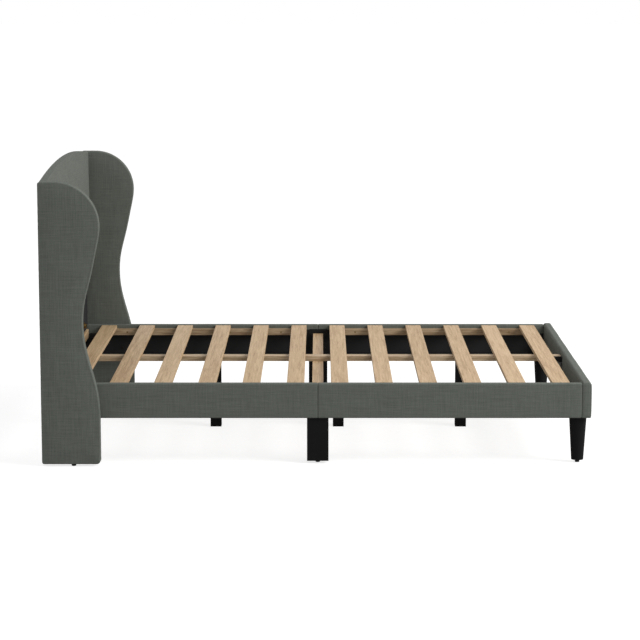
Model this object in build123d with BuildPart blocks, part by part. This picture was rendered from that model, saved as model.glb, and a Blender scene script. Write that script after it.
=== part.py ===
from build123d import *
import os

# A wingback platform bed: upholstered headboard and wings, rails in two halves, slats and legs
# Millimetres. +X runs from the head to the foot, +Z is up, right is -Y as seen from the pillow
# The origin lies on the floor, in the middle of the bed's length and width

# Whole bed
overall_length = 2130
overall_width = 1650
floor_gap = 11
rail_bottom = 182
slat_underside = 302

# Covers and linings
cover_thickness = 4
rail_padding = 5
wrap_thickness = 1.5
lining_thickness = 1.5
seat_clearance = 0.5

# Wings
wing_top = 1104
wing_thickness = 50
wing_depth = 230
wing_base_depth = 223.5
wing_shoulder_radius = 170
wing_corner_radius = 12
wing_edge_shares = [
    (0.943, 0.765),
    (0.839, 0.664),
    (0.726, 0.564),
    (0.704, 0.505),
    (0.726, 0.437),
    (0.839, 0.337),
    (0.943, 0.246),
]
wing_base_share = 0.156

# Headboard
arch_side_height = 1105
arch_crown_height = 1143
headboard_bottom = 182
backboard_thickness = 13
pad_bottom = 580
pad_depth = 22.5
pad_crown = 8
back_lining_inset = 14
cleat_thickness = 9
cleat_height = 40
cleat_end_gap = 15
brass_bolt_spacing = 1240
brass_bolt_height = 333
brass_washer_radius = 15.5
brass_washer_thickness = 2.5
brass_head_radius = 10
brass_head_height = 9
brass_socket_radius = 4
brass_socket_depth = 5
dowel_radius = 3
dowel_length = 40
dowel_heights = (450, 900)

# Rails and ledgers
rail_thickness = 30
rail_top = 319
rail_corner_radius = 4
rail_seam = 2.5
lining_edge_inset = 4
ledger_width = 25
ledger_height = 27
ledger_joint_gap = 104

# Foot rail
foot_rail_thickness = 36.5
foot_rail_top = 323
foot_rail_radius = 12
foot_rail_corner_radius = 3
foot_rail_slot_inset = 7

# Slats and the beam under them
slat_count = 12
slat_width = 68
slat_thickness = 15
last_slat_gap = 44.1
slat_end_gap = 2
first_slat_edge = 85
slat_corner_radius = 1
beam_width = 52
beam_thickness = 21
plank_width = 44.5
plank_thickness = 20
plank_end_gap = 16

# Legs
mid_leg_width = 84
mid_leg_depth = 75
mid_leg_inset = 10
mid_leg_corner_radius = 2
foot_leg_top_radius = 34.25
foot_leg_base_radius = 23.85
foot_leg_from_end = 46.6
foot_leg_from_side = 47
centre_leg_width = 45.7
centre_leg_slat_count = 3

# Levelling glides and their inserts
glide_radius = 9
glide_height = 10.7
glide_edge_radius = 2
glide_stem_radius = 4
glide_stem_length = 30
glide_running_gap = 0.05
insert_radius = 6
insert_length = 28
insert_gap = 0.05
stem_hole_spare = 5
wing_glide_from_back = 120

# Steel plates and brackets
plate_thickness = 3
joint_plate_width = 43.5
joint_plate_gap = 13
plate_edge_inset = 6
leg_bracket_height = 53
leg_bracket_reach = 42
plank_bracket_height = 38
mid_bracket_width = 80
corner_flange_length = 40
corner_bracket_height = 70
corner_bracket_inset = 8
leg_plate_length = 68.5
leg_plate_width = 65
hanger_length = 34
hanger_flange_width = 90

# Bolts and screws
bolt_radius = 4
bolt_gap = 0.1
bolt_head_radius = 6.5
bolt_head_height = 4
bolt_bite = 18
wing_bolt_bite = 20
panel_bolt_bite = 11
wing_bolt_from_board = 70
wing_bolt_spacing = 90
leg_bolt_bite = 35
joint_bolt_spacing = 56
lower_bolt_height = 212
upper_bolt_height = 275
corner_bolt_from_corner = 25
screw_radius = 2
screw_gap = 0.1
screw_head_radius = 4
screw_head_height = 3
slat_screw_from_end = 14
slat_screw_bite = 18
ledger_screw_count = 4
ledger_screw_bite = 16
cleat_screw_count = 5
cleat_screw_bite = 10
beam_screw_bite = 30
plank_screw_bite = 15
plank_screw_from_seam = 12

# Planes and places worked out from the sizes
back_x = -overall_length / 2
foot_x = overall_length / 2
wing_inner = overall_width / 2 - wing_thickness
wing_middle = overall_width / 2 - wing_thickness / 2
rail_outer = wing_inner
rail_inner = rail_outer - rail_thickness
board_inner = rail_inner + wrap_thickness
board_outer = rail_outer - rail_padding
board_back_x = back_x + lining_thickness
board_front_x = board_back_x + backboard_thickness
lower_face_x = board_front_x + lining_thickness
pad_face_x = board_front_x + pad_depth + wrap_thickness
foot_inner_x = foot_x - foot_rail_thickness
cleat_front_x = lower_face_x + cleat_thickness
slat_top = slat_underside + slat_thickness
ledger_bottom = slat_underside - ledger_height
beam_bottom = slat_underside - beam_thickness
plank_bottom = beam_bottom - plank_thickness
slat_half_length = rail_inner - slat_end_gap
ledger_inner = rail_inner - ledger_width
first_slat_x = back_x + first_slat_edge
last_slat_x = foot_inner_x - last_slat_gap - slat_width
slat_pitch = (last_slat_x - first_slat_x) / (slat_count - 1)
slat_centres = [first_slat_x + slat_width / 2 + slat_pitch * k for k in range(slat_count)]
ledger_spans = {
    "head": (first_slat_x, rail_seam - ledger_joint_gap / 2),
    "foot": (rail_seam + ledger_joint_gap / 2, slat_centres[-1] + slat_width / 2),
}
rail_spans = {
    "head": (lower_face_x, rail_seam),
    "foot": (rail_seam, foot_inner_x),
}
board_spans = {
    end: (low + wrap_thickness, high - wrap_thickness)
    for end, (low, high) in rail_spans.items()
}
foot_leg_x = foot_x - foot_leg_from_end
foot_leg_y = rail_outer - foot_leg_from_side
mid_leg_outer = rail_outer - mid_leg_inset
mid_leg_inner = mid_leg_outer - mid_leg_depth
mid_leg_y = (mid_leg_inner + mid_leg_outer) / 2
wing_glide_x = back_x + wing_glide_from_back
wing_frame_bottom = floor_gap + cover_thickness
centre_leg_places = slat_centres[centre_leg_slat_count::centre_leg_slat_count]
plate_face = rail_inner - plate_thickness
bracket_face = plate_face - plate_thickness
sides = {"right": -1, "left": 1}

os.makedirs("parts", exist_ok=True)


def save(piece, name):
    """Labels a finished piece and writes it to its own file."""
    piece.part.label = name
    export_step(piece.part, f"parts/{name}.step")


def side_span(side, first, second):
    """The Y span between two distances from the middle, on one side of the bed."""
    return tuple(sorted((side * first, side * second)))


def block(x_span, y_span, z_span, mode=Mode.ADD):
    """A box between two limits along each axis."""
    spans = (x_span, y_span, z_span)
    middle = tuple((low + high) / 2 for low, high in spans)
    size = [high - low for low, high in spans]
    with Locations(middle):
        Box(*size, mode=mode)


def rod(start, direction, length, radius, mode=Mode.ADD):
    """A cylinder that runs from a point along a direction."""
    rods(fasteners([start], direction, length), radius, 0, mode)


def fasteners(points, direction, length):
    """Like fasteners: the seats under their heads, with their shanks' direction and length."""
    return [Plane(point, z_dir=direction) for point in points], length


def rods(group, radius, spare, mode=Mode.ADD):
    """The shanks of a group of fasteners, or the holes for them with some room to spare."""
    seats, length = group
    with Locations(*seats):
        Cylinder(radius, length + spare, align=(Align.CENTER, Align.CENTER, Align.MIN),
                 mode=mode)


def spread(low, high, count):
    """Evenly spaced places between two limits, half a step in from each."""
    step = (high - low) / count
    return [low + step * (k + 0.5) for k in range(count)]


# Bolts and screws, each group with one direction and one length
lap_length = wing_inner + cover_thickness + wing_bolt_bite - rail_inner
wing_bolt_x = [lower_face_x + wing_bolt_from_board + wing_bolt_spacing * k for k in (0, 1)]
joint_bolt_x = [rail_seam + joint_bolt_spacing * along / 2 for along in (-1, 1)]
corner_bolt_x = (lower_face_x + corner_bolt_from_corner, foot_inner_x - corner_bolt_from_corner)
corner_bolt_y = rail_inner - corner_bolt_from_corner
ledger_middle = (ledger_bottom + slat_underside) / 2
ledger_screw_x = [x for low, high in ledger_spans.values()
                  for x in spread(low, high, ledger_screw_count)]
wing_bolts, joint_bolts, corner_rail_bolts = {}, {}, {}
mid_leg_bolts, foot_leg_bolts, ledger_screws = {}, {}, {}
for name, side in sides.items():
    out = (0, side, 0)
    wing_bolts[name] = fasteners(
        [(x, side * rail_inner, lower_bolt_height) for x in wing_bolt_x], out, lap_length)
    joint_bolts[name] = fasteners(
        [(x, side * bracket_face, height) for x in joint_bolt_x
         for height in (lower_bolt_height, upper_bolt_height)],
        out, plate_thickness * 2 + wrap_thickness + bolt_bite)
    corner_rail_bolts[name] = fasteners(
        [(x, side * plate_face, lower_bolt_height) for x in corner_bolt_x],
        out, plate_thickness + wrap_thickness + bolt_bite)
    mid_leg_bolts[name] = fasteners(
        [(rail_seam, side * (mid_leg_inner + leg_bracket_reach / 2),
          rail_bottom + plate_thickness)], (0, 0, -1), plate_thickness + leg_bolt_bite)
    foot_leg_bolts[name] = fasteners(
        [(foot_leg_x, side * foot_leg_y, rail_bottom + plate_thickness)],
        (0, 0, -1), plate_thickness + leg_bolt_bite)
    ledger_screws[name] = fasteners(
        [(x, side * ledger_inner, ledger_middle) for x in ledger_screw_x],
        out, ledger_width + wrap_thickness + ledger_screw_bite)
head_panel_bolts = fasteners(
    [(lower_face_x + plate_thickness, side * corner_bolt_y, lower_bolt_height)
     for side in sides.values()],
    (-1, 0, 0), plate_thickness + lining_thickness + panel_bolt_bite)
foot_panel_bolts = fasteners(
    [(foot_inner_x - plate_thickness, side * corner_bolt_y, lower_bolt_height)
     for side in sides.values()],
    (1, 0, 0), plate_thickness + wrap_thickness + bolt_bite)
brass_bolts = fasteners(
    [(lower_face_x + brass_washer_thickness, side * brass_bolt_spacing / 2, brass_bolt_height)
     for side in sides.values()],
    (-1, 0, 0), brass_washer_thickness + lining_thickness + panel_bolt_bite)
slat_screws = [
    fasteners([(x, side * (slat_half_length - slat_screw_from_end), slat_top)
               for side in sides.values()],
              (0, 0, -1), slat_thickness + slat_screw_bite)
    for x in slat_centres
]
cleat_screws = fasteners(
    [(cleat_front_x, y, slat_underside - cleat_height / 2)
     for y in spread(cleat_end_gap - rail_inner, rail_inner - cleat_end_gap,
                     cleat_screw_count)],
    (-1, 0, 0), cleat_thickness + lining_thickness + cleat_screw_bite)
beam_screws = fasteners(
    [(x, 0, slat_underside) for x in centre_leg_places],
    (0, 0, -1), beam_thickness + beam_screw_bite)
plank_screws = fasteners(
    [(rail_seam + plank_screw_from_seam * along, 0, slat_underside) for along in (-1, 1)],
    (0, 0, -1), beam_thickness + plank_screw_bite)


def bolt_holes(*groups):
    """Cuts the clearance holes of some bolts out of the piece in work."""
    for group in groups:
        rods(group, bolt_radius + bolt_gap, bolt_gap, Mode.SUBTRACT)


def screw_holes(*groups):
    """Cuts the holes of some countersunk screws out of the piece in work."""
    for group in groups:
        rods(group, screw_radius + screw_gap, screw_gap, Mode.SUBTRACT)
        screw_heads(group, screw_gap, Mode.SUBTRACT)


def screw_heads(group, spare, mode=Mode.ADD):
    """The countersunk heads of a group of screws, or the sinks for them."""
    seats, length = group
    with Locations(*seats):
        Cone(screw_head_radius + spare, screw_radius + spare, screw_head_height,
             align=(Align.CENTER, Align.CENTER, Align.MIN), mode=mode)


def dowel_rods(radius, length, mode):
    """The dowels that pin the headboard's edges to the wings, or their holes."""
    for side in sides.values():
        starts = [(board_back_x + backboard_thickness / 2,
                   side * (wing_inner + cover_thickness - length / 2), height)
                  for height in dowel_heights]
        rods(fasteners(starts, (0, side, 0), length), radius, 0, mode)


def insert_holes(x, y, seat):
    """Cuts the blind hole for a glide's insert and, above it, for the tip of its stem."""
    stem_top = glide_height + glide_stem_length + stem_hole_spare
    rod((x, y, seat), (0, 0, 1), insert_length + insert_gap, insert_radius + insert_gap,
        Mode.SUBTRACT)
    rod((x, y, seat), (0, 0, 1), stem_top - seat, glide_stem_radius + insert_gap,
        Mode.SUBTRACT)


# Wings: a layered board frame with the S-shaped front edge, and the padded cover round it
def wing_solid(side, inset, inner_y, outer_y):
    """The wing's outline, drawn in by an inset, between two distances from the middle."""
    height = wing_top - floor_gap
    top, bottom = wing_top - inset, floor_gap + inset
    rear_x = back_x + inset
    shoulder_x = back_x + wing_depth - wing_shoulder_radius
    shoulder = (back_x + wing_depth, wing_top - wing_shoulder_radius)
    base = (back_x + wing_base_depth, floor_gap + wing_base_share * height)
    points = [(back_x + wing_depth * across, floor_gap + height * up)
              for across, up in wing_edge_shares]
    down = ((0, -1), (0, -1))
    outer_edge = Spline(shoulder, *points, base, tangents=down)
    if inset:
        ways = [outer_edge % outer_edge.param_at_point(point) for point in points]
        points = [(x + inset * way.Y, z - inset * way.X) for (x, z), way in zip(points, ways)]
    shoulder = (shoulder[0] - inset, shoulder[1])
    base = (base[0] - inset, base[1])
    with BuildPart() as wing:
        with BuildSketch(Plane.XZ.offset(-side * inner_y)):
            with BuildLine():
                Spline(shoulder, *points, base, tangents=down)
                RadiusArc((shoulder_x, top), shoulder, wing_shoulder_radius - inset)
                Polyline((shoulder_x, top), (rear_x, top), (rear_x, bottom))
                FilletPolyline((rear_x, bottom), (base[0], bottom), base,
                               radius=wing_corner_radius - inset)
            make_face()
        extrude(amount=-side * (outer_y - inner_y))
    return wing.part


for name, side in sides.items():
    frame_inner = wing_inner + cover_thickness
    frame_outer = overall_width / 2 - cover_thickness
    with BuildPart() as wing_frame:
        add(wing_solid(side, cover_thickness, frame_inner, frame_outer))
        bolt_holes(wing_bolts[name])
        dowel_rods(dowel_radius + bolt_gap, dowel_length + bolt_gap, Mode.SUBTRACT)
        insert_holes(wing_glide_x, side * wing_middle, wing_frame_bottom)
    save(wing_frame, f"{name}_wing_frame")

    with BuildPart() as wing_cover:
        add(wing_solid(side, 0, wing_inner, overall_width / 2))
        add(wing_solid(side, cover_thickness, frame_inner, frame_outer), mode=Mode.SUBTRACT)
        block((back_x + cover_thickness + wing_corner_radius,
               back_x + wing_base_depth - cover_thickness - wing_corner_radius),
              side_span(side, frame_inner, frame_outer), (floor_gap, wing_frame_bottom),
              mode=Mode.SUBTRACT)
        bolt_holes(wing_bolts[name])
        dowel_rods(dowel_radius + bolt_gap, dowel_length + bolt_gap, Mode.SUBTRACT)
    save(wing_cover, f"{name}_wing_cover")


# Headboard: an arched board, the foam and cover on its upper part and linings on the rest
def arched_slab(start_x, end_x, inset, bottom):
    """A slab with the headboard's arched top, drawn in by an inset at its sides and top."""
    half_width = wing_inner - inset
    with BuildPart() as slab:
        with BuildSketch(Plane.YZ.offset(start_x)):
            with BuildLine():
                left = (half_width, arch_side_height - inset)
                right = (-half_width, arch_side_height - inset)
                ThreePointArc(left, (0, arch_crown_height - inset), right)
                Polyline(right, (-half_width, bottom), (half_width, bottom), left)
            make_face()
        extrude(amount=end_x - start_x)
    return slab.part


def pad_form(inset, back):
    """The pad's crowned form, with its face, sides, top and bottom drawn in by an inset."""
    face_x = pad_face_x - inset
    half_width = wing_inner - seat_clearance - inset
    with BuildPart() as form:
        add(arched_slab(back, face_x, seat_clearance + inset, pad_bottom + inset))
        with BuildSketch(Plane.XY.offset(pad_bottom)):
            with BuildLine():
                ThreePointArc((face_x - pad_crown, -half_width), (face_x, 0),
                              (face_x - pad_crown, half_width))
                Polyline((face_x - pad_crown, half_width), (back, half_width),
                         (back, -half_width), (face_x - pad_crown, -half_width))
            make_face()
        extrude(amount=arch_crown_height - pad_bottom, mode=Mode.INTERSECT)
        with BuildSketch(Plane.XZ.offset(-half_width)):
            with BuildLine():
                low = (face_x - pad_crown, pad_bottom)
                high = (face_x - pad_crown, arch_crown_height)
                ThreePointArc(low, (face_x, (pad_bottom + arch_crown_height) / 2), high)
                Polyline(high, (back, arch_crown_height), (back, pad_bottom), low)
            make_face()
        extrude(amount=half_width * 2, mode=Mode.INTERSECT)
    return form.part


with BuildPart() as backboard:
    add(arched_slab(board_back_x, board_front_x, cover_thickness / 2, headboard_bottom))
    bolt_holes(head_panel_bolts, brass_bolts)
    dowel_rods(dowel_radius + bolt_gap, dowel_length + bolt_gap, Mode.SUBTRACT)
    screw_holes(cleat_screws)
save(backboard, "headboard_backboard")

with BuildPart() as back_lining:
    add(arched_slab(back_x, board_back_x, back_lining_inset, headboard_bottom))
save(back_lining, "headboard_back_lining")

with BuildPart() as front_lining:
    block((board_front_x, lower_face_x), (-wing_inner, wing_inner),
          (headboard_bottom, pad_bottom))
    bolt_holes(head_panel_bolts, brass_bolts)
    screw_holes(cleat_screws)
save(front_lining, "headboard_front_lining")

with BuildPart() as foam:
    add(pad_form(wrap_thickness, board_front_x))
save(foam, "headboard_foam")

with BuildPart() as headboard_cover:
    add(pad_form(0, back_x))
    add(pad_form(wrap_thickness, board_front_x), mode=Mode.SUBTRACT)
    add(arched_slab(board_back_x, board_front_x, cover_thickness / 2, headboard_bottom),
        mode=Mode.SUBTRACT)
    add(arched_slab(back_x, board_back_x, back_lining_inset, headboard_bottom),
        mode=Mode.SUBTRACT)
    dowel_rods(dowel_radius + bolt_gap, dowel_length + bolt_gap, Mode.SUBTRACT)
save(headboard_cover, "headboard_cover")

with BuildPart() as cleat:
    block((lower_face_x, cleat_front_x),
          (cleat_end_gap - rail_inner, rail_inner - cleat_end_gap),
          (slat_underside - cleat_height, slat_underside))
    screw_holes(cleat_screws)
save(cleat, "headboard_cleat")

with BuildPart() as headboard_bolts:
    seats, length = brass_bolts
    rods(brass_bolts, bolt_radius, 0)
    with Locations(*seats):
        Cylinder(brass_washer_radius, brass_washer_thickness,
                 align=(Align.CENTER, Align.CENTER, Align.MIN))
        Cylinder(brass_head_radius, brass_head_height,
                 align=(Align.CENTER, Align.CENTER, Align.MAX))
    with Locations(*[seat.offset(-brass_head_height) for seat in seats]):
        Cylinder(brass_socket_radius, brass_socket_depth,
                 align=(Align.CENTER, Align.CENTER, Align.MIN), mode=Mode.SUBTRACT)
save(headboard_bolts, "headboard_bolts")

with BuildPart() as dowels:
    dowel_rods(dowel_radius, dowel_length, Mode.ADD)
save(dowels, "headboard_dowels")

# Side rails: a board in each half, the cover wrapped round it and the lining inside
lining_bottom = rail_bottom + lining_edge_inset
lining_top = ledger_bottom + lining_edge_inset
rail_board_top = rail_top - wrap_thickness * 2
rail_board_bottom = rail_bottom + wrap_thickness
for name, side in sides.items():
    for end, span in rail_spans.items():
        with BuildPart() as rail_board:
            block(board_spans[end], side_span(side, board_inner, board_outer),
                  (rail_board_bottom, rail_board_top))
            bolt_holes(wing_bolts[name], joint_bolts[name], corner_rail_bolts[name])
            screw_holes(ledger_screws[name])
        save(rail_board, f"{name}_rail_board_{end}")

        with BuildPart() as rail_cover:
            block(span, side_span(side, rail_inner, rail_outer), (rail_bottom, rail_top))
            fillet(rail_cover.edges().filter_by(Axis.X), rail_corner_radius)
            block(board_spans[end], side_span(side, board_inner, board_outer),
                  (rail_board_bottom, rail_board_top), mode=Mode.SUBTRACT)
            block(board_spans[end], side_span(side, rail_inner, board_inner),
                  (lining_bottom, lining_top), mode=Mode.SUBTRACT)
            bolt_holes(wing_bolts[name])
            screw_holes(ledger_screws[name])
        save(rail_cover, f"{name}_rail_cover_{end}")

    with BuildPart() as ledgers:
        for span in ledger_spans.values():
            block(span, side_span(side, ledger_inner, rail_inner),
                  (ledger_bottom, slat_underside))
        screw_holes(ledger_screws[name], *slat_screws)
    save(ledgers, f"{name}_ledgers")

with BuildPart() as rail_linings:
    for name, side in sides.items():
        for span in board_spans.values():
            block(span, side_span(side, rail_inner, board_inner), (lining_bottom, lining_top))
        bolt_holes(wing_bolts[name], joint_bolts[name], corner_rail_bolts[name])
        screw_holes(ledger_screws[name])
save(rail_linings, "rail_linings")

# Foot rail: it closes the ends of both side rails, and its padded top stands a little higher
foot_board_x = (foot_inner_x + wrap_thickness, foot_x - rail_padding)
foot_board_y = (rail_padding - rail_outer, rail_outer - rail_padding)
foot_board_z = (rail_bottom + wrap_thickness, foot_rail_top - rail_padding)
with BuildPart() as foot_board_blank:
    block(foot_board_x, foot_board_y, foot_board_z)
    inner_top_edge = foot_board_blank.edges().filter_by(Axis.Y).group_by(Axis.Z)[-1].sort_by(Axis.X)[0]
    fillet(inner_top_edge, foot_rail_radius - wrap_thickness)

with BuildPart() as foot_board:
    add(foot_board_blank.part)
    bolt_holes(foot_panel_bolts)
save(foot_board, "foot_rail_board")

with BuildPart() as foot_cover:
    block((foot_inner_x, foot_x), (-rail_outer, rail_outer), (rail_bottom, foot_rail_top))
    top_edges = foot_cover.edges().filter_by(Axis.Y).group_by(Axis.Z)[-1]
    fillet(top_edges, foot_rail_radius)
    outer_edges = foot_cover.edges().filter_by(Axis.Z).group_by(Axis.X)[-1]
    fillet(outer_edges, foot_rail_corner_radius)
    add(foot_board_blank.part, mode=Mode.SUBTRACT)
    block((foot_board_x[0] + foot_rail_slot_inset, foot_board_x[1] - foot_rail_slot_inset),
          (foot_board_y[0] + foot_rail_slot_inset, foot_board_y[1] - foot_rail_slot_inset),
          (rail_bottom, foot_board_z[0]), mode=Mode.SUBTRACT)
    bolt_holes(foot_panel_bolts)
save(foot_cover, "foot_rail_cover")

# Slats, the beam in two halves and the plank that crosses under its joint
for number, x in enumerate(slat_centres, start=1):
    with BuildPart() as slat:
        block((x - slat_width / 2, x + slat_width / 2), (-slat_half_length, slat_half_length),
              (slat_underside, slat_top))
        fillet(slat.edges().filter_by(Axis.Y), slat_corner_radius)
        screw_holes(slat_screws[number - 1])
    save(slat, f"slat_{number}")

hanger_floor = (beam_bottom - plate_thickness, beam_bottom)
beam_spans = {
    "head": (cleat_front_x + plate_thickness, rail_seam),
    "foot": (rail_seam, foot_inner_x - plate_thickness),
}
for end, span in beam_spans.items():
    with BuildPart() as beam:
        block(span, (-beam_width / 2, beam_width / 2), (beam_bottom, slat_underside))
        screw_holes(beam_screws, plank_screws)
    save(beam, f"centre_beam_{end}")

plank_half_length = rail_inner - plank_end_gap
with BuildPart() as plank:
    block((rail_seam - plank_width / 2, rail_seam + plank_width / 2),
          (-plank_half_length, plank_half_length), (plank_bottom, beam_bottom))
    screw_holes(plank_screws)
save(plank, "cross_plank")

# Beam hangers: a saddle under each end of the beam, on a flange against the cleat or the rail
with BuildPart() as hangers:
    for face_x, way in ((cleat_front_x, 1), (foot_inner_x, -1)):
        flange = tuple(sorted((face_x, face_x + way * plate_thickness)))
        saddle = tuple(sorted((face_x, face_x + way * (plate_thickness + hanger_length))))
        wall = beam_width / 2 + plate_thickness
        block(saddle, (-wall, wall), (hanger_floor[0], slat_underside))
        block((saddle[0] - plate_thickness, saddle[1] + plate_thickness),
              (-beam_width / 2, beam_width / 2), (beam_bottom, slat_underside),
              mode=Mode.SUBTRACT)
        block(flange, (-hanger_flange_width / 2, hanger_flange_width / 2),
              (slat_underside - cleat_height, slat_underside))
    screw_holes(cleat_screws)
save(hangers, "beam_hangers")

# Plates and brackets at the joint of the rails, over the mid legs
with BuildPart() as joint_plates:
    for name, side in sides.items():
        for along in (-1, 1):
            near = rail_seam + along * joint_plate_gap / 2
            x_span = tuple(sorted((near, near + along * joint_plate_width)))
            block(x_span, side_span(side, plate_face, rail_inner),
                  (rail_bottom + plate_edge_inset, slat_underside - plate_edge_inset))
        bolt_holes(joint_bolts[name])
save(joint_plates, "rail_joint_plates")

bracket_x = (rail_seam - mid_bracket_width / 2, rail_seam + mid_bracket_width / 2)
with BuildPart() as mid_brackets:
    for name, side in sides.items():
        block(bracket_x, side_span(side, bracket_face, plate_face),
              (rail_bottom, rail_bottom + leg_bracket_height))
        block(bracket_x, side_span(side, mid_leg_inner, bracket_face),
              (rail_bottom, rail_bottom + plate_thickness))
        block(bracket_x, side_span(side, bracket_face, plate_face),
              (plank_bottom - plate_thickness, plank_bottom + plank_bracket_height))
        block((rail_seam - plank_width / 2, rail_seam + plank_width / 2),
              side_span(side, bracket_face - leg_bracket_reach, bracket_face),
              (plank_bottom - plate_thickness, plank_bottom))
        bolt_holes(joint_bolts[name], mid_leg_bolts[name])
save(mid_brackets, "mid_brackets")

# Corner brackets: plain angles at the head, angles with a leg plate at the foot
with BuildPart() as corner_brackets:
    bottom = rail_bottom + corner_bracket_inset
    for name, side in sides.items():
        rail_flange = side_span(side, plate_face, rail_inner)
        panel_flange = side_span(side, rail_inner - corner_flange_length, plate_face)
        block((lower_face_x, lower_face_x + corner_flange_length), rail_flange,
              (bottom, bottom + corner_bracket_height))
        block((lower_face_x, lower_face_x + plate_thickness), panel_flange,
              (bottom, bottom + corner_bracket_height))
        block((foot_inner_x - corner_flange_length, foot_inner_x), rail_flange,
              (rail_bottom, bottom + corner_bracket_height))
        block((foot_inner_x - plate_thickness, foot_inner_x), panel_flange,
              (rail_bottom, bottom + corner_bracket_height))
        block((foot_inner_x - leg_plate_length, foot_inner_x),
              side_span(side, rail_inner - leg_plate_width, rail_inner),
              (rail_bottom, rail_bottom + plate_thickness))
        bolt_holes(corner_rail_bolts[name], foot_leg_bolts[name])
    bolt_holes(head_panel_bolts, foot_panel_bolts)
save(corner_brackets, "corner_brackets")

# Legs
for name, side in sides.items():
    with BuildPart() as mid_leg:
        block((rail_seam - mid_leg_width / 2, rail_seam + mid_leg_width / 2),
              side_span(side, mid_leg_inner, mid_leg_outer), (floor_gap, rail_bottom))
        fillet(mid_leg.edges().filter_by(Axis.Z), mid_leg_corner_radius)
        bolt_holes(mid_leg_bolts[name])
        insert_holes(rail_seam, side * mid_leg_y, floor_gap)
    save(mid_leg, f"{name}_mid_leg")

    with BuildPart() as foot_leg:
        with Locations((foot_leg_x, side * foot_leg_y, floor_gap)):
            Cone(foot_leg_base_radius, foot_leg_top_radius, rail_bottom - floor_gap,
                 align=(Align.CENTER, Align.CENTER, Align.MIN))
        bolt_holes(foot_leg_bolts[name])
        insert_holes(foot_leg_x, side * foot_leg_y, floor_gap)
    save(foot_leg, f"{name}_foot_leg")

with BuildPart() as centre_legs:
    half_leg = centre_leg_width / 2
    for x in centre_leg_places:
        block((x - half_leg, x + half_leg), (-half_leg, half_leg), (0, beam_bottom))
    screw_holes(beam_screws)
save(centre_legs, "centre_legs")

# Levelling glides: a domed foot on a stem that turns in an insert
glide_places = {"wing": (wing_glide_x, wing_middle, wing_frame_bottom),
                "mid": (rail_seam, mid_leg_y, floor_gap),
                "foot": (foot_leg_x, foot_leg_y, floor_gap)}
for name, side in sides.items():
    for place, (x, y, seat) in glide_places.items():
        with BuildPart() as glide:
            rod((x, side * y, 0), (0, 0, 1), glide_height, glide_radius)
            fillet(glide.edges().filter_by(GeomType.CIRCLE), glide_edge_radius)
            rod((x, side * y, glide_height), (0, 0, 1), glide_stem_length, glide_stem_radius)
        save(glide, f"{name}_{place}_glide")

with BuildPart() as inserts:
    for side in sides.values():
        for x, y, seat in glide_places.values():
            rod((x, side * y, seat), (0, 0, 1), insert_length, insert_radius)
            rod((x, side * y, seat), (0, 0, 1), insert_length,
                glide_stem_radius + glide_running_gap, Mode.SUBTRACT)
save(inserts, "glide_inserts")

# Bolts of the frame, and the countersunk wood screws
steel_bolts = [head_panel_bolts, foot_panel_bolts]
for name in sides:
    steel_bolts += [wing_bolts[name], joint_bolts[name], corner_rail_bolts[name],
                    mid_leg_bolts[name], foot_leg_bolts[name]]
with BuildPart() as frame_bolts:
    for group in steel_bolts:
        rods(group, bolt_radius, 0)
        with Locations(*group[0]):
            Cylinder(bolt_head_radius, bolt_head_height,
                     align=(Align.CENTER, Align.CENTER, Align.MAX))
save(frame_bolts, "frame_bolts")

with BuildPart() as wood_screws:
    for group in (*slat_screws, cleat_screws, beam_screws, plank_screws,
                  *ledger_screws.values()):
        rods(group, screw_radius, 0)
        screw_heads(group, 0)
save(wood_screws, "wood_screws")
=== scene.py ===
import math

import bmesh
import bpy
import numpy as np
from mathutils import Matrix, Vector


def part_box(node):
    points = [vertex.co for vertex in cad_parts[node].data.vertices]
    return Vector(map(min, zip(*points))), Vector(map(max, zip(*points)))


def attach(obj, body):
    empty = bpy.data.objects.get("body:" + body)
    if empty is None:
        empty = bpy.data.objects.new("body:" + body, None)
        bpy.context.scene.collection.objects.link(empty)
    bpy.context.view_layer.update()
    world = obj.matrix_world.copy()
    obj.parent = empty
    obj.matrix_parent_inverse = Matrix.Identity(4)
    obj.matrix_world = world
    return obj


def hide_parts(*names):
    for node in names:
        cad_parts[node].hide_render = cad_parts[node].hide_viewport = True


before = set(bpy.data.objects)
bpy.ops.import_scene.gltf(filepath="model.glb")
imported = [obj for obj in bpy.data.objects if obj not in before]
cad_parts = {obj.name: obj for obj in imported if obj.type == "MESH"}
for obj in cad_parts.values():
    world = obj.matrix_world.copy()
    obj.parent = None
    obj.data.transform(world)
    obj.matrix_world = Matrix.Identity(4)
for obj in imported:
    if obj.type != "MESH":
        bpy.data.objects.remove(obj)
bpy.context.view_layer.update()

mm = 0.001
bedBody = "bed_frame"
sides = {"right": -1, "left": 1}
railHalves = [(name, side, end) for name, side in sides.items() for end in ("head", "foot")]
print("frame loaded,", len(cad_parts), "nodes")

# Camera and studio

camera = {
    "place": (11.2 * mm, -9324 * mm, 1850.1 * mm),
    "pitchDown": 8.527,  # degrees below the horizon
    "lens": 125.963,  # millimetres
    "sensor": 36,  # millimetres, wide and tall
    "farEnd": 400,
}
studio = {
    "floorColour": (0.42, 0.42, 0.42, 1),
    "seenColour": (0.80, 0.80, 0.80, 1),
    "floorGlow": 1.54,  # what the lens sees of the floor, where 1 is white
    "floorGlowShare": 0.50,
    "floorReach": 95,
    "worldLight": 0.62,
    "keyWatts": 690,
    "keySize": 4.6,
    "keyPlace": (7.0, -2.9, 5.3),
    "aim": (0, 0, 0.35),
}


def mathNode(operation, swapped=False):
    # One operator of the class below, as a Math node
    def operator(self, other):
        pair = (other, self) if swapped else (self, other)
        return self.work.maths(operation, *pair)
    return operator


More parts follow.
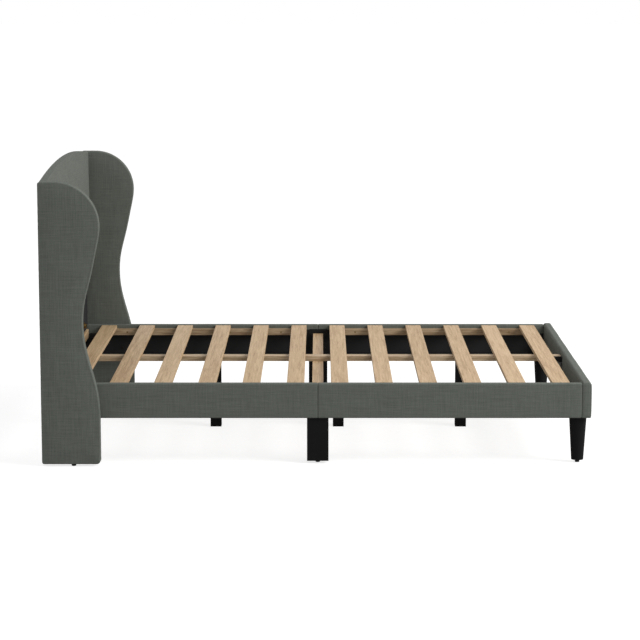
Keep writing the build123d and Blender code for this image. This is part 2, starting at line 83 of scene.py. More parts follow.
class Wire:
    # An output socket: sums, differences, products and quotients with it add Math nodes
    def __init__(self, work, socket):
        self.work, self.socket = work, socket

    def __abs__(self):
        return self.work.maths("ABSOLUTE", self)

    def other(self, output):
        return Wire(self.work, self.socket.node.outputs[output])

    __add__, __radd__ = mathNode("ADD"), mathNode("ADD", True)
    __sub__, __rsub__ = mathNode("SUBTRACT"), mathNode("SUBTRACT", True)
    __mul__, __rmul__ = mathNode("MULTIPLY"), mathNode("MULTIPLY", True)
    __truediv__, __rtruediv__ = mathNode("DIVIDE"), mathNode("DIVIDE", True)


class NodeWork:
    # A node tree, with one method that adds any node and gives back one of its outputs
    def __init__(self, owner):
        owner.use_nodes = True
        self.tree = owner.node_tree
        self.tree.nodes.clear()

    def node(self, kind, settings=None, inputs=None, output=0):
        made = self.tree.nodes.new(kind)
        for name, value in (settings or {}).items():
            if name == "stops":
                ramp = made.color_ramp
                while len(ramp.elements) < len(value):
                    ramp.elements.new(1)
                for element, (place, colour) in zip(ramp.elements, value):
                    element.position, element.color = place, colour
            else:
                setattr(made, name, value)
        for name, value in (inputs or {}).items():
            if isinstance(value, Wire):
                self.tree.links.new(value.socket, made.inputs[name])
            else:
                made.inputs[name].default_value = value
        return Wire(self, made.outputs[output] if len(made.outputs) else None)

    def maths(self, operation, *values):
        return self.node("ShaderNodeMath", {"operation": operation}, dict(enumerate(values)))

    def clamped(self, value):
        return self.node("ShaderNodeClamp", {}, {0: value})

    def ranged(self, value, low, high, atLow=0, atHigh=1):
        return self.node("ShaderNodeMapRange", {}, {0: value, 1: low, 2: high, 3: atLow, 4: atHigh})

    def mixed(self, factor, first, second):
        return self.node("ShaderNodeMix", {"data_type": "RGBA"}, {0: factor, 6: first, 7: second},
                         output=2)

    def objectPlace(self):
        return self.node("ShaderNodeTexCoord", output=3)

    def clothPlace(self):
        return self.node("ShaderNodeUVMap", {"uv_map": "cloth"})

    def noise(self, place, scale, detail=2, roughness=0.5):
        # The scale is one number, or three for a pattern drawn out along an axis
        if not np.isscalar(scale):
            place = self.node("ShaderNodeMapping", {}, {"Vector": place, "Scale": scale})
            scale = 1
        return self.node("ShaderNodeTexNoise", {}, {"Vector": place, "Scale": scale,
                                                    "Detail": detail, "Roughness": roughness})

    def crossed(self, place, fine, coarse, detail, roughness):
        # The same noise drawn out along the warp and along the weft
        return [self.noise(place, scale, detail, roughness)
                for scale in ((fine, coarse, 1), (coarse, fine, 1))]

    def bumped(self, strength, depth, height):
        return self.node("ShaderNodeBump", {}, {"Strength": strength, "Distance": depth,
                                                "Height": height})


def finishOf(name, surface):
    # A new material: surface adds its nodes and returns the sockets of the main shader
    material = bpy.data.materials.new(name)
    work = NodeWork(material)
    shader = work.node("ShaderNodeBsdfPrincipled", {}, surface(work))
    work.node("ShaderNodeOutputMaterial", {}, {"Surface": shader})
    return material


def newObject(name, data):
    made = bpy.data.objects.new(name, data)
    bpy.context.scene.collection.objects.link(made)
    return made


def makeCamera():
    made = bpy.data.cameras.new("photoCamera")
    made.lens, made.clip_end = camera["lens"], camera["farEnd"]
    made.sensor_width = made.sensor_height = camera["sensor"]
    holder = newObject("photoCamera", made)
    holder.location = camera["place"]
    holder.rotation_euler = (math.radians(90 - camera["pitchDown"]), 0, 0)
    bpy.context.scene.camera = holder


def makeWorld():
    # Camera, glossy and transmission rays see white, and other rays see the plain light
    world = bpy.data.worlds.new("studio")
    bpy.context.scene.world = world
    work = NodeWork(world)
    paths = work.node("ShaderNodeLightPath")
    seen = paths
    for output in ("Is Glossy Ray", "Is Transmission Ray"):
        seen = work.maths("MAXIMUM", seen, paths.other(output))
    strength = studio["worldLight"] + (1 - studio["worldLight"]) * seen
    light = work.node("ShaderNodeBackground", {}, {"Color": (1, 1, 1, 1), "Strength": strength})
    work.node("ShaderNodeOutputWorld", {}, {"Surface": light})


def makeFloor():
    reach = studio["floorReach"]
    mesh = bpy.data.meshes.new("floor")
    mesh.from_pydata([(-reach, -reach, 0), (reach, -reach, 0), (reach, reach, 0),
                      (-reach, reach, 0)], [], [(0, 1, 2, 3)])
    paint = bpy.data.materials.new("floorPaint")
    work = NodeWork(paint)
    paths = work.node("ShaderNodeLightPath")
    tone = work.mixed(paths, studio["floorColour"], studio["seenColour"])
    matt = work.node("ShaderNodeBsdfDiffuse", {}, {"Color": tone})
    glow = work.node("ShaderNodeEmission", {}, {"Strength": studio["floorGlow"]})
    both = work.node("ShaderNodeMixShader", {},
                     {0: paths * studio["floorGlowShare"], 1: matt, 2: glow})
    work.node("ShaderNodeOutputMaterial", {}, {"Surface": both})
    mesh.materials.append(paint)
    newObject("floor", mesh)


def makeLamp():
    made = bpy.data.lights.new("keyLamp", "AREA")
    made.shape, made.size, made.energy = "DISK", studio["keySize"], studio["keyWatts"]
    lamp = newObject("keyLamp", made)
    lamp.location = studio["keyPlace"]
    way = np.array(studio["aim"]) - np.array(studio["keyPlace"])
    lamp.rotation_euler = (math.atan2(math.hypot(way[0], way[1]), -way[2]), 0,
                           math.atan2(-way[0], way[1]))


makeCamera()
makeWorld()
makeFloor()
makeLamp()
bpy.context.scene.view_settings.view_transform = "Standard"
print("camera and studio made")

# Finishes

clothLook = {
    "thread": 1.15 * mm,  # from one thread to the next
    "base": (0.1265, 0.1370, 0.1200, 1),
    "dark": (0.0730, 0.0792, 0.0693, 1),
    "pale": (0.1780, 0.1920, 0.1687, 1),
    "wander": 0.9,  # in threads, how far a thread leaves its line
    "wanderFine": 160,
    "slub": 1.2,  # how strongly uneven yarn shows
    "slubFine": (900, 26),  # across and along the thread
    "streakFine": (210, 9),
    "clouds": 0.35,
    "cloudFine": 22,
    "threadShare": 0.6,  # of the threads' own tones in the colour
    "threadGapShade": 0.3,  # painted shade: how far the gaps between threads are darkened
    "roughness": 0.93,
    "sheen": 0.03,
    "sheenRoughness": 0.5,
    "gloss": 0.07,
    "bump": 0.22,
}
woodLook = {
    "slatOak": {
        "along": 1,  # the axis of the grain
        "across": 150,  # fineness of the grain
        "seed": 3.1,
        "pale": (0.588, 0.424, 0.252, 1),
        "middle": (0.480, 0.329, 0.183, 1),
        "dark": (0.330, 0.202, 0.100, 1),
        "roughness": 0.58,
    },
    # A darker copy of the slat oak for the beam and ledgers: its darker middle and dark tones are
    # painted shade, standing in for the shade that the slats cast on them
    "beamOakPaintedShade": {
        "along": 0,
        "across": 130,
        "seed": 7.7,
        "pale": (0.560, 0.432, 0.290, 1),
        "middle": (0.390, 0.276, 0.164, 1),
        "dark": (0.225, 0.142, 0.077, 1),
        "roughness": 0.62,
    },
    "boardWood": {
        "along": 2,
        "across": 60,
        "seed": 5.2,
        "pale": (0.560, 0.430, 0.290, 1),
        "middle": (0.470, 0.340, 0.215, 1),
        "dark": (0.350, 0.235, 0.140, 1),
        "roughness": 0.75,
    },
}
grain = {
    "drawnOut": 30,  # how much longer than wide
    "driftOut": 30,  # how much slower the bend is than the bands
    "rings": 38,
    "poreFine": 7,
    "poreLong": 3,
    "poreTone": 0.35,
    "poreFrom": (0.56, 0.70),  # where the noise begins to be a pore, and is all pore
    "bump": 0.25,
    "gloss": 0.35,
}
blackLook = {
    "paint": (0.0080, 0.0080, 0.0082, 1),
    "worn": (0.0190, 0.0184, 0.0178, 1),
    "wornFrom": (0.56, 0.78),
    "paintRoughness": 0.42,
    "paintGloss": 0.07,
    "powderRoughness": 0.46,
    "powderGloss": 0.12,
    "nylonRoughness": 0.5,
    "nylonGloss": 0.2,
    "lining": (0.0200, 0.0200, 0.0207, 1),
    "liningPale": (0.0410, 0.0410, 0.0420, 1),
    "liningRoughness": 0.88,
    "liningGloss": 0.06,
}
metalLook = {
    "antiqueBrass": {"pale": (0.340, 0.222, 0.092, 1), "dark": (0.120, 0.071, 0.028, 1),
                     "roughness": 0.28, "wear": 2.2},
    "zincPlate": {"pale": (0.560, 0.565, 0.560, 1), "dark": (0.330, 0.335, 0.340, 1),
                  "roughness": 0.30, "wear": 1.4},
    "blackOxide": {"pale": (0.040, 0.038, 0.037, 1), "dark": (0.016, 0.015, 0.015, 1),
                   "roughness": 0.42, "wear": 1.8},
    "yellowZinc": {"pale": (0.300, 0.205, 0.085, 1), "dark": (0.140, 0.090, 0.040, 1),
                   "roughness": 0.38, "wear": 2.0},
}


def shaderInputs(colour, roughness, bump, gloss):
    return {"Base Color": colour, "Roughness": roughness, "Normal": bump,
            "Specular IOR Level": gloss}


def weave(work, u, v):
    # Plain weave: where the product of two sines is positive the warp is on top, else the weft;
    # each thread is round across its width, as the size of its own sine
    warp, weft = work.maths("SINE", u * math.pi), work.maths("SINE", v * math.pi)
    onTop = work.clamped(warp * weft * 6 + 0.5)
    return abs(warp) * onTop + abs(weft) * (1 - onTop), onTop


def clothSurface(work):
    look = clothLook
    place = work.clothPlace()
    wander = (work.noise(place, look["wanderFine"]) - 0.5) * look["wander"]
    parts = work.node("ShaderNodeSeparateXYZ", {}, {0: place})
    height, onTop = weave(work, parts / look["thread"] + wander,
                          parts.other(1) / look["thread"] - wander)
    warpSlub, weftSlub = work.crossed(place, *look["slubFine"], 2, 0.6)
    slub = warpSlub * onTop + weftSlub * (1 - onTop)
    warpStreak, weftStreak = work.crossed(place, *look["streakFine"], 3, 0.6)
    streaks = warpStreak + weftStreak - 1  # thick and thin yarns, seen from a step away
    cloud = (work.noise(place, look["cloudFine"], 3, 0.55) - 0.5) * look["clouds"]
    tone = work.clamped(0.5 + (slub - 0.5) * look["slub"] + streaks + cloud)
    thread = work.mixed(tone, look["dark"], look["pale"])
    blend = work.mixed(look["threadShare"], look["base"], thread)
    # Painted shade between the threads: the low gaps go towards the dark colour, and the thread
    # crowns keep their full colour
    shown = work.clamped(height * 1.3) * look["threadGapShade"] + (1 - look["threadGapShade"])
    return {**shaderInputs(work.mixed(shown, look["dark"], blend), look["roughness"],
                           work.bumped(look["bump"], 0.4 * mm, height + slub * 0.6),
                           look["gloss"]),
            "Sheen Weight": look["sheen"], "Sheen Roughness": look["sheenRoughness"]}


def woodSurface(look):
    # Grain: noise drawn out along the board, bent by a slower noise, with fine short pores
    across, along = look["across"], look["along"]

    def drawnOut(width, length):
        return [length if axis == along else width for axis in range(3)]

    def surface(work):
        shift = tuple(look["seed"] * k for k in (1, 2, 3))
        place = work.node("ShaderNodeMapping", {}, {"Vector": work.objectPlace(),
                                                    "Location": shift})
        scale = drawnOut(across, across / grain["drawnOut"])
        drift = work.noise(place, [value / grain["driftOut"] for value in scale])
        bands = work.noise(place, scale, 5, 0.62)
        growth = work.maths("SINE", (bands * 1.2 + drift * 1.6) * grain["rings"]) * 0.5 + 0.5
        pores = work.noise(place, drawnOut(across * grain["poreFine"],
                                           across / grain["poreLong"]), 2, 0.7)
        pore = work.ranged(pores, *grain["poreFrom"])
        tone = work.clamped(bands * 1.5 + growth * 0.24 + drift * 0.5 - 0.62)
        stops = [(0.18, look["dark"]), (0.50, look["middle"]), (0.82, look["pale"])]
        colour = work.node("ShaderNodeValToRGB", {"stops": stops}, {0: tone})
        return shaderInputs(work.mixed(pore * grain["poreTone"], colour, look["dark"]),
                            look["roughness"] + pore * 0.12 - 0.02,
                            work.bumped(grain["bump"], 0.3 * mm, tone - pore * 0.8),
                            grain["gloss"])
    return surface


def paintSurface(work):
    # Satin black paint on wood: soft brush waves in the bump, and paler rubbed patches
    place = work.objectPlace()
    waves = work.noise(place, (160, 160, 14), 3)
    dust = work.noise(place, 900)
    worn = work.ranged(work.noise(place, 28, 4, 0.7), *blackLook["wornFrom"])
    colour = work.mixed(worn * 0.5 + dust * 0.08, blackLook["paint"], blackLook["worn"])
    return shaderInputs(colour, blackLook["paintRoughness"] + waves * 0.16 + worn * 0.1,
                        work.bumped(0.22, 0.25 * mm, waves + dust * 0.2),
                        blackLook["paintGloss"])


def powderSurface(work):
    # Black powder coat on steel: a fine orange peel
    place = work.objectPlace()
    peel = work.noise(place, 700)
    colour = work.mixed(work.noise(place, 40, 3), blackLook["paint"], blackLook["worn"])
    return shaderInputs(colour, blackLook["powderRoughness"] + peel * 0.15,
                        work.bumped(0.3, 0.15 * mm, peel), blackLook["powderGloss"])


def liningSurface(work):
    # Non-woven cloth: tangled fibres as stretched noise both ways, with small pressed dots
    place = work.clothPlace()
    first, second = work.crossed(place, 1400, 260, 3, 0.7)
    fibre = (first + second) * 0.5
    dots = work.node("ShaderNodeTexVoronoi", {}, {"Vector": place, "Scale": 520})
    dot = work.ranged(dots, 0.12, 0.30, 1, 0)
    colour = work.mixed(work.clamped(fibre * 1.5 - 0.3 - dot * 0.4), blackLook["lining"],
                        blackLook["liningPale"])
    return shaderInputs(colour, blackLook["liningRoughness"],
                        work.bumped(0.4, 0.2 * mm, fibre - dot * 0.7), blackLook["liningGloss"])


def nylonSurface(work):
    # Black moulded nylon: a fine grain, scuffed in short strokes
    place = work.objectPlace()
    scuff = work.noise(place, (300, 300, 60), 3)
    colour = work.mixed(scuff * 0.6, blackLook["paint"], blackLook["worn"])
    bump = work.bumped(0.3, 0.1 * mm, work.noise(place, 1200, 3))
    return shaderInputs(colour, blackLook["nylonRoughness"] + scuff * 0.2, bump,
                        blackLook["nylonGloss"])


def metalSurface(look):
    # Plated metal: fine turning marks, and darker stains where noise is high
    def surface(work):
        place = work.objectPlace()
        stain = work.noise(place, 120, 4, 0.65)
        colour = work.mixed(work.clamped((stain - 0.35) * look["wear"]), look["pale"],
                            look["dark"])
        bump = work.bumped(0.15, 0.1 * mm, work.noise(place, (400, 400, 3000)))
        return {"Base Color": colour, "Metallic": 1.0,
                "Roughness": look["roughness"] + stain * 0.25, "Normal": bump}
    return surface


surfaces = {
    "greyGreenLinen": clothSurface,
    "blackPaint": paintSurface,
    "powderCoat": powderSurface,
    "blackLining": liningSurface,
    "blackNylon": nylonSurface,
    **{name: woodSurface(look) for name, look in woodLook.items()},
    **{name: metalSurface(look) for name, look in metalLook.items()},
}
finishes = {name: finishOf(name, surface) for name, surface in surfaces.items()}
cloth, blackLining, zinc = (finishes[name] for name in
                            ("greyGreenLinen", "blackLining", "zincPlate"))

nodeFinishes = {  # each finish, with words in the names of its nodes
    "slatOak": ("slat_", "cross_plank", "headboard_cleat", "headboard_dowels"),
    # the beam and ledgers take the oak darkened with painted shade from the slats above
    "beamOakPaintedShade": ("centre_beam_", "_ledgers"),
    "boardWood": ("backboard", "wing_frame", "rail_board"),
    "blackPaint": ("mid_leg", "foot_leg", "centre_legs"),
    "powderCoat": ("beam_hangers", "joint_plates", "_brackets"),
    "antiqueBrass": ("headboard_bolts",),
    "blackOxide": ("frame_bolts",),
    "yellowZinc": ("wood_screws",),
    "zincPlate": ("glide_inserts",),
    "blackNylon": ("wing_glide", "mid_glide", "foot_glide"),
}
for finish, words in nodeFinishes.items():
    for name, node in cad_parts.items():
        if any(word in name for word in words):
            if not node.material_slots:
                node.data.materials.append(finishes[finish])
            for place in node.material_slots:
                place.material = finishes[finish]
print("finishes made")

# Surfaces: outlines, wrapped forms and their meshes

cornerPull = 22 * mm  # the length that a turn of one radian counts for in the steps


def arc(centre, radius, fromDegrees, toDegrees, steps=24):
    # The centre plus the radius times the cosine and the sine of even steps of the angle
    turn = np.radians(np.linspace(fromDegrees, toDegrees, steps))
    return np.stack([centre[0] + radius * np.cos(turn), centre[1] + radius * np.sin(turn)], 1)


def archRadius(half, sag):
    # The radius of an arch that falls by its sag over half its width
    return (half ** 2 + sag ** 2) / (2 * sag)


def line(start, end, steps=2):
    # The start times what is left of the way plus the end times what is gone, in even steps
    share = np.linspace(0, 1, steps)[:, None]
    return np.array(start) * (1 - share) + np.array(end) * share


def smoothCurve(points, startWay, endWay, steps=40):
    # A cubic curve through points whose second derivative runs on: the ways at the inner points
    # solve one row each of a three-band system, and each span is the cubic with its two ways
    points = np.array(points, float)
    gaps = np.linalg.norm(np.diff(points, axis=0), axis=1)
    count = len(points)
    system, right = np.eye(count), np.zeros((count, 2))
    right[0], right[-1] = startWay, endWay
    rows = np.arange(1, count - 1)
    before, after = gaps[:-1, None], gaps[1:, None]
    system[rows, rows - 1] = gaps[1:]
    system[rows, rows] = 2 * (gaps[:-1] + gaps[1:])
    system[rows, rows + 1] = gaps[:-1]
    slopes = np.diff(points, axis=0) / gaps[:, None]
    right[1:-1] = 3 * (after * slopes[:-1] + before * slopes[1:])
    ways = np.linalg.solve(system, right)
    t = np.linspace(0, 1, steps, endpoint=False)[None, :, None]
    gap = gaps[:, None, None]
    spans = (points[:-1, None] * (2 * t**3 - 3 * t**2 + 1)
             + ways[:-1, None] * gap * (t**3 - 2 * t**2 + t)
             + points[1:, None] * (3 * t**2 - 2 * t**3) + ways[1:, None] * gap * (t**3 - t**2))
    return np.vstack([spans.reshape(-1, 2), points[-1:]])


def evenSteps(points, count):
    # Equal steps of length plus a share of the turn, so that bends get more points. Each row is
    # a point and its heading, which turns evenly from the middle of one segment to the next
    way = np.diff(points, axis=0)
    length = np.hypot(way[:, 0], way[:, 1])
    kept = length > 1e-9
    points, way, length = points[np.append(True, kept)], way[kept], length[kept]
    heading = np.unwrap(np.arctan2(way[:, 1], way[:, 0]))
    turn = np.abs(np.diff(heading, prepend=heading[0]))
    measure = np.append(0, np.cumsum(length + cornerPull * turn))
    at = np.linspace(0, measure[-1], count, endpoint=False)
    middle = (measure[:-1] + measure[1:]) / 2
    return np.stack([np.interp(at, measure, points[:, 0]), np.interp(at, measure, points[:, 1]),
                     np.interp(at, middle, heading)], 1)


def softNoise(points, wavelength, seed, waves=22):
    # Smooth noise of unit size: a sum of sine waves in random directions, all seeded
    random = np.random.default_rng(seed)
    ways = random.normal(size=(waves, 3))
    ways /= np.linalg.norm(ways, axis=1)[:, None]
    scale = 2 * np.pi / (wavelength * random.uniform(0.7, 1.5, waves))
    phase = random.uniform(0, 2 * np.pi, waves)
    total = np.zeros(points.shape[:-1])
    for way, size, start in zip(ways, scale, phase):
        total += np.sin(points @ (way * size) + start)
    return total / math.sqrt(waves / 2)


def acrossRows(edges, rounds, sinks, steps, faceRoom=4):
    # A profile across a padded form: from the middle of the low face to its edge, round the
    # edge, along the band, round the high edge and in over the high face. Each row has an inset
    # from the outline, a share of the way to the spine, a depth, the direction that it faces,
    # and its place in the profile, which is the same on a rough and a fine grid
    faceSteps, roundSteps, bandSteps = steps
    inward = np.linspace(1, 0, faceSteps) ** 1.5
    turn = np.linspace(0, np.pi / 2, roundSteps + 1)[1:]
    halves = []
    for edge, way, radius, sink in zip(edges, (1, -1), rounds, sinks):
        face = [inward * 0 + radius, inward, edge + way * sink * (1 - inward) ** faceRoom,
                inward * 0, np.linspace(0, 1, faceSteps)]
        bend = [radius * (1 - np.sin(turn)), turn * 0,
                edge + way * (sink + radius * (1 - np.cos(turn))), turn, 1 + turn / (np.pi / 2)]
        halves.append(np.hstack([face, bend]))
    lowHalf, highHalf = halves
    highHalf[4] = 5 - highHalf[4]
    depth = np.linspace(lowHalf[2, -1], highHalf[2, -1], bandSteps + 2)[1:-1]
    band = [depth * 0, depth * 0, depth, depth * 0 + np.pi / 2,
            np.linspace(2, 3, bandSteps + 2)[1:-1]]
    table = np.hstack([lowHalf, band, highHalf[:, ::-1]])
    sign = np.ones(table.shape[1])
    sign[:lowHalf.shape[1] + bandSteps // 2] = -1
    return {"sign": sign, **dict(zip(("inset", "share", "depth", "turn", "place"), table))}


def wrapForm(outline, counts, spine, across, order):
    # Rings round an outline: each row draws the outline in by its inset along the normals, then
    # moves it towards the spine by its share. The outline's four runs are side, end, side, end,
    # and both sides reach the spine at the same points, so that the last ring closes on itself
    table = np.vstack([evenSteps(run, count) for run, count in zip(outline, counts * 2)])
    loop, heading = table[:, :2], table[:, 2]
    steps = np.linspace(0, 1, counts[0], endpoint=False)
    reach = np.concatenate([steps, np.ones(counts[1]), 1 - steps, np.zeros(counts[1])])[:, None]
    spinePoints = np.array(spine[0]) * (1 - reach) + np.array(spine[1]) * reach
    after = np.roll(loop, -1, axis=0)
    normal = np.stack([np.sin(heading), -np.cos(heading)], 1)
    normal *= np.sign(np.sum(loop[:, 0] * after[:, 1] - loop[:, 1] * after[:, 0]))
    share = across["share"][:, None, None]
    flat = (loop - normal * across["inset"][:, None, None]) * (1 - share) + spinePoints * share
    rowGap = np.hypot(np.diff(across["inset"]), np.diff(across["depth"]))
    return {"flat": flat, "depth": across["depth"][:, None] + np.zeros(flat.shape[:2]),
            "normal": normal, "across": across, "order": order,
            "along": np.append(0, np.cumsum(np.linalg.norm(after - loop, axis=1))),
            "acrossLength": np.append(0, np.cumsum(rowGap)),
            "columns": np.concatenate([run + np.linspace(0, 1, count, endpoint=False)
                                       for run, count in enumerate(counts * 2)]),
            "spinePlace": np.round(reach[:, 0] * counts[0]).astype(int)}


def placed(form):
    # The two outline coordinates and the depth, put into X, Y and Z
    points = np.zeros(form["flat"].shape[:2] + (3,))
    for axis, values in zip(form["order"], (form["flat"][..., 0], form["flat"][..., 1],
                                            form["depth"])):
        points[..., "xyz".index(axis)] = values
    return points + form.get("swell", 0)


def pushed(form, relief):
    # Moves each point out along the way that its row faces: a blend of the outline's normal and
    # the depth, by the sine and cosine of the row's turn
    across = form["across"]
    out, deep = np.sin(across["turn"])[:, None], np.cos(across["turn"])[:, None]
    form["flat"] = form["flat"] + (relief * out)[..., None] * form["normal"][None]
    form["depth"] = form["depth"] + relief * deep * across["sign"][:, None]
    return form


def faceWidth(form):
    # From the edge of the low face to the spine, for each point round the outline
    faceEdge = np.argmin(form["across"]["share"] > 0) - 1
    return np.linalg.norm(form["flat"][faceEdge] - form["flat"][0], axis=-1)


def cornersOf(grid):
    # The four corners of each cell of a grid, in turn
    return np.stack([grid[:-1, :-1], grid[:-1, 1:], grid[1:, 1:], grid[1:, :-1]], 2)


def closedRound(grid):
    # The grid with its first column once more at its end
    return np.concatenate([grid, grid[:, :1]], axis=1)


def clothMap(form):
    # Metres of cloth at each quad's corners: plain on the faces, and round the outline elsewhere
    wrapped = np.stack(np.broadcast_arrays(form["along"], form["acrossLength"][:, None]), -1)
    face = form["across"]["share"] > 0
    onFace = (face[:-1] | face[1:])[:, None, None, None]
    return np.where(onFace, cornersOf(closedRound(form["flat"])), cornersOf(wrapped))


def outward(points, quads):
    # Whether the quads face out, by the sign of the volume that they hold
    first, second, third, fourth = (points[quads[:, k]] for k in range(4))
    return np.sum(np.cross(first, second) * third) + np.sum(np.cross(first, third) * fourth) > 0


def pieceFrom(name, points, quads, corners, finish):
    # A mesh object from arrays: points, quads and the cloth map of each corner
    mesh = bpy.data.meshes.new(name)
    mesh.from_pydata(points.tolist(), [], quads.tolist())
    layer = mesh.uv_layers.new(name="cloth")
    layer.data.foreach_set("uv", corners.reshape(-1).astype(np.float32))
    work = bmesh.new()
    work.from_mesh(mesh)
    bmesh.ops.remove_doubles(work, verts=work.verts, dist=1e-6)
    work.to_mesh(mesh)
    work.free()
    mesh.polygons.foreach_set("use_smooth", np.ones(len(mesh.polygons), bool))
    mesh.materials.append(finish)
    return newObject(name, mesh)


def settle(piece, slotName, *replacedNodes):
    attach(piece, bedBody)
    if replacedNodes:
        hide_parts(*replacedNodes)
    return piece


def makePad(name, form, fill, *replacedNodes, mirrored=False):
    # The rings of a wrapped form as one closed mesh whose faces point outwards
    points = (placed(form) * (1, -1 if mirrored else 1, 1)).reshape(-1, 3)
    index = np.arange(len(points)).reshape(form["depth"].shape)
    quads, corners = cornersOf(closedRound(index)).reshape(-1, 4), clothMap(form).reshape(-1, 4, 2)
    if not outward(points, quads):
        quads, corners = quads[:, ::-1], corners[:, ::-1]
    piece = pieceFrom(name, points, quads, corners, cloth)
    settle(piece, "upholstery", *replacedNodes)


# Padding: the cloth swells a little over its foam, held where it is sewn or stapled

padding = {
    "frames": 20,
    "quality": 6,
    "mass": 0.3,
    "stretch": 14,
    "bending": 4,
    "damping": 4,
    "slack": 0.0004,  # share by which the cloth is longer than its form
    "reach": 15 * mm,  # over which the moves inside a face are averaged
    "edgeBlend": 36 * mm,
}


def runMesh(form):
    # The rings as one closed mesh, whose first and last rings have one vertex for each place on
    # the spine, and the numbers of its vertices on the grid
    rows, around = form["flat"].shape[:2]
    inner = np.arange((rows - 2) * around).reshape(rows - 2, around)
    spine = inner.size + form["spinePlace"]
    index = np.vstack([spine[None], inner, spine[None] + form["spinePlace"].max() + 1])
    spots = np.zeros((index.max() + 1, 3))
    spots[index] = placed(form)
    quads = cornersOf(closedRound(index)).reshape(-1, 4)
    if not outward(spots, quads):
        quads = quads[:, ::-1]
    lowEnd, highEnd = quads[:, 0] == quads[:, 1], quads[:, 2] == quads[:, 3]
    mesh = bpy.data.meshes.new("clothRun")
    mesh.from_pydata(spots.tolist(), [], quads[~lowEnd & ~highEnd].tolist()
                     + quads[lowEnd & ~highEnd, 1:].tolist()
                     + quads[highEnd & ~lowEnd, :3].tolist())
    return mesh, index


def readBetween(values, at, closed):
    # The cubic through the two nearest values, with the slopes of the values around them
    low = np.floor(at + 1e-9).astype(int)
    t = (at - low)[:, None, None]
    taps = [low + k for k in (-1, 0, 1, 2)]
    last = len(values)
    a, b, c, d = (values[tap % last if closed else np.clip(tap, 0, last - 1)] for tap in taps)
    return b + 0.5 * t * (c - a + t * (2 * a - 5 * b + 4 * c - d + t * (3 * (b - c) + d - a)))


def overFace(read, move, form, rough, sign):
    # Inside a face, the mean of the rough points' moves, each weighed by a bell curve of its
    # distance. The means stand on a lattice, as products of one bell curve for each direction,
    # and a cubic spline reads them. Towards the edge the moves read between the rings take over
    sources = rough["across"]["sign"] == sign
    spots, moves = rough["flat"][sources].reshape(-1, 2), move[sources].reshape(-1, 3)
    pitch = padding["reach"] / 2
    low = spots.min(axis=0) - 3 * pitch
    sizes = ((spots.max(axis=0) - low) / pitch).astype(int) + 4
    bells = [np.exp(-((low[k] + np.arange(sizes[k]) * pitch - spots[:, k, None])
                      / padding["reach"]) ** 2 / 2) for k in (0, 1)]
    weight = bells[0].T @ bells[1] + 1e-12
    means = np.stack([(bells[0] * moves[:, k, None]).T @ bells[1] / weight for k in range(3)], -1)
    share = form["across"]["share"]
    rows = (form["across"]["sign"] == sign) & (share > 0)
    at = (form["flat"][rows] - low) / pitch
    cell = np.floor(at).astype(int)
    t = at - cell
    taps = [(1 - t) ** 3 / 6, (3 * t ** 3 - 6 * t ** 2 + 4) / 6,
            (3 * (t + t ** 2 - t ** 3) + 1) / 6, t ** 3 / 6]
    mean = sum(means[cell[..., 0] + i - 1, cell[..., 1] + j - 1]
               * (taps[i][..., 0] * taps[j][..., 1])[..., None]
               for i in range(4) for j in range(4))
    inside = np.clip(share[rows][:, None] * faceWidth(form) / padding["edgeBlend"], 0, 1)[..., None]
    inside = inside ** 2 * (3 - 2 * inside)
    read[rows] = read[rows] * (1 - inside) + mean * inside
    return read


def swell(name, form, rough, heldRows, settings, side=0):
    # Runs the cloth of the rough form under pressure and moves the form's points as it moves.
    # A move is drawn in to cap * tanh(move / cap)
    noise = softNoise(placed(rough), settings["runWave"], settings["runSeed"] + side)
    rough = pushed(rough, noise * settings["runSoftness"])
    mesh, index = runMesh(rough)
    piece = newObject("clothRun", mesh)
    pins = piece.vertex_groups.new(name="held")
    pins.add(np.unique(index[heldRows]).tolist(), 1, "REPLACE")
    run = piece.modifiers.new("cloth", "CLOTH")
    run.point_cache.frame_end = padding["frames"]
    run.collision_settings.use_collision = False
    skin = run.settings
    skin.quality, skin.mass = padding["quality"], padding["mass"]
    skin.tension_stiffness = skin.compression_stiffness = padding["stretch"]
    skin.tension_damping = skin.compression_damping = padding["damping"]
    skin.bending_stiffness, skin.shrink_min = padding["bending"], -padding["slack"]
    skin.use_pressure, skin.uniform_pressure_force = True, settings["pressure"]
    skin.vertex_group_mass = "held"
    skin.effector_weights.gravity = 0
    for step in range(1, padding["frames"] + 1):
        bpy.context.scene.frame_set(step)
    shown = piece.evaluated_get(bpy.context.evaluated_depsgraph_get()).data
    ended = np.zeros(len(shown.vertices) * 3)
    shown.vertices.foreach_get("co", ended)
    move = ended.reshape(-1, 3)[index] - placed(rough)
    rowAt = np.interp(form["across"]["place"], rough["across"]["place"], np.arange(len(move)))
    columnAt = np.interp(form["columns"], np.append(rough["columns"], 4),
                         np.arange(len(rough["columns"]) + 1))
    read = readBetween(readBetween(move, rowAt, False).transpose(1, 0, 2), columnAt, True)
    read = read.transpose(1, 0, 2)
    for sign in (-1, 1):
        read = overFace(read, move, form, rough, sign)
    size = np.linalg.norm(read, axis=-1, keepdims=True) + 1e-9
    print(f"{name} cloth run, largest move {size.max() / mm:.1f} mm")
    form["swell"] = read * settings["cap"] * np.tanh(size / settings["cap"]) / size
    bpy.data.objects.remove(piece)
    bpy.data.meshes.remove(mesh)
    bpy.context.scene.frame_set(1)
    return form


# Wings

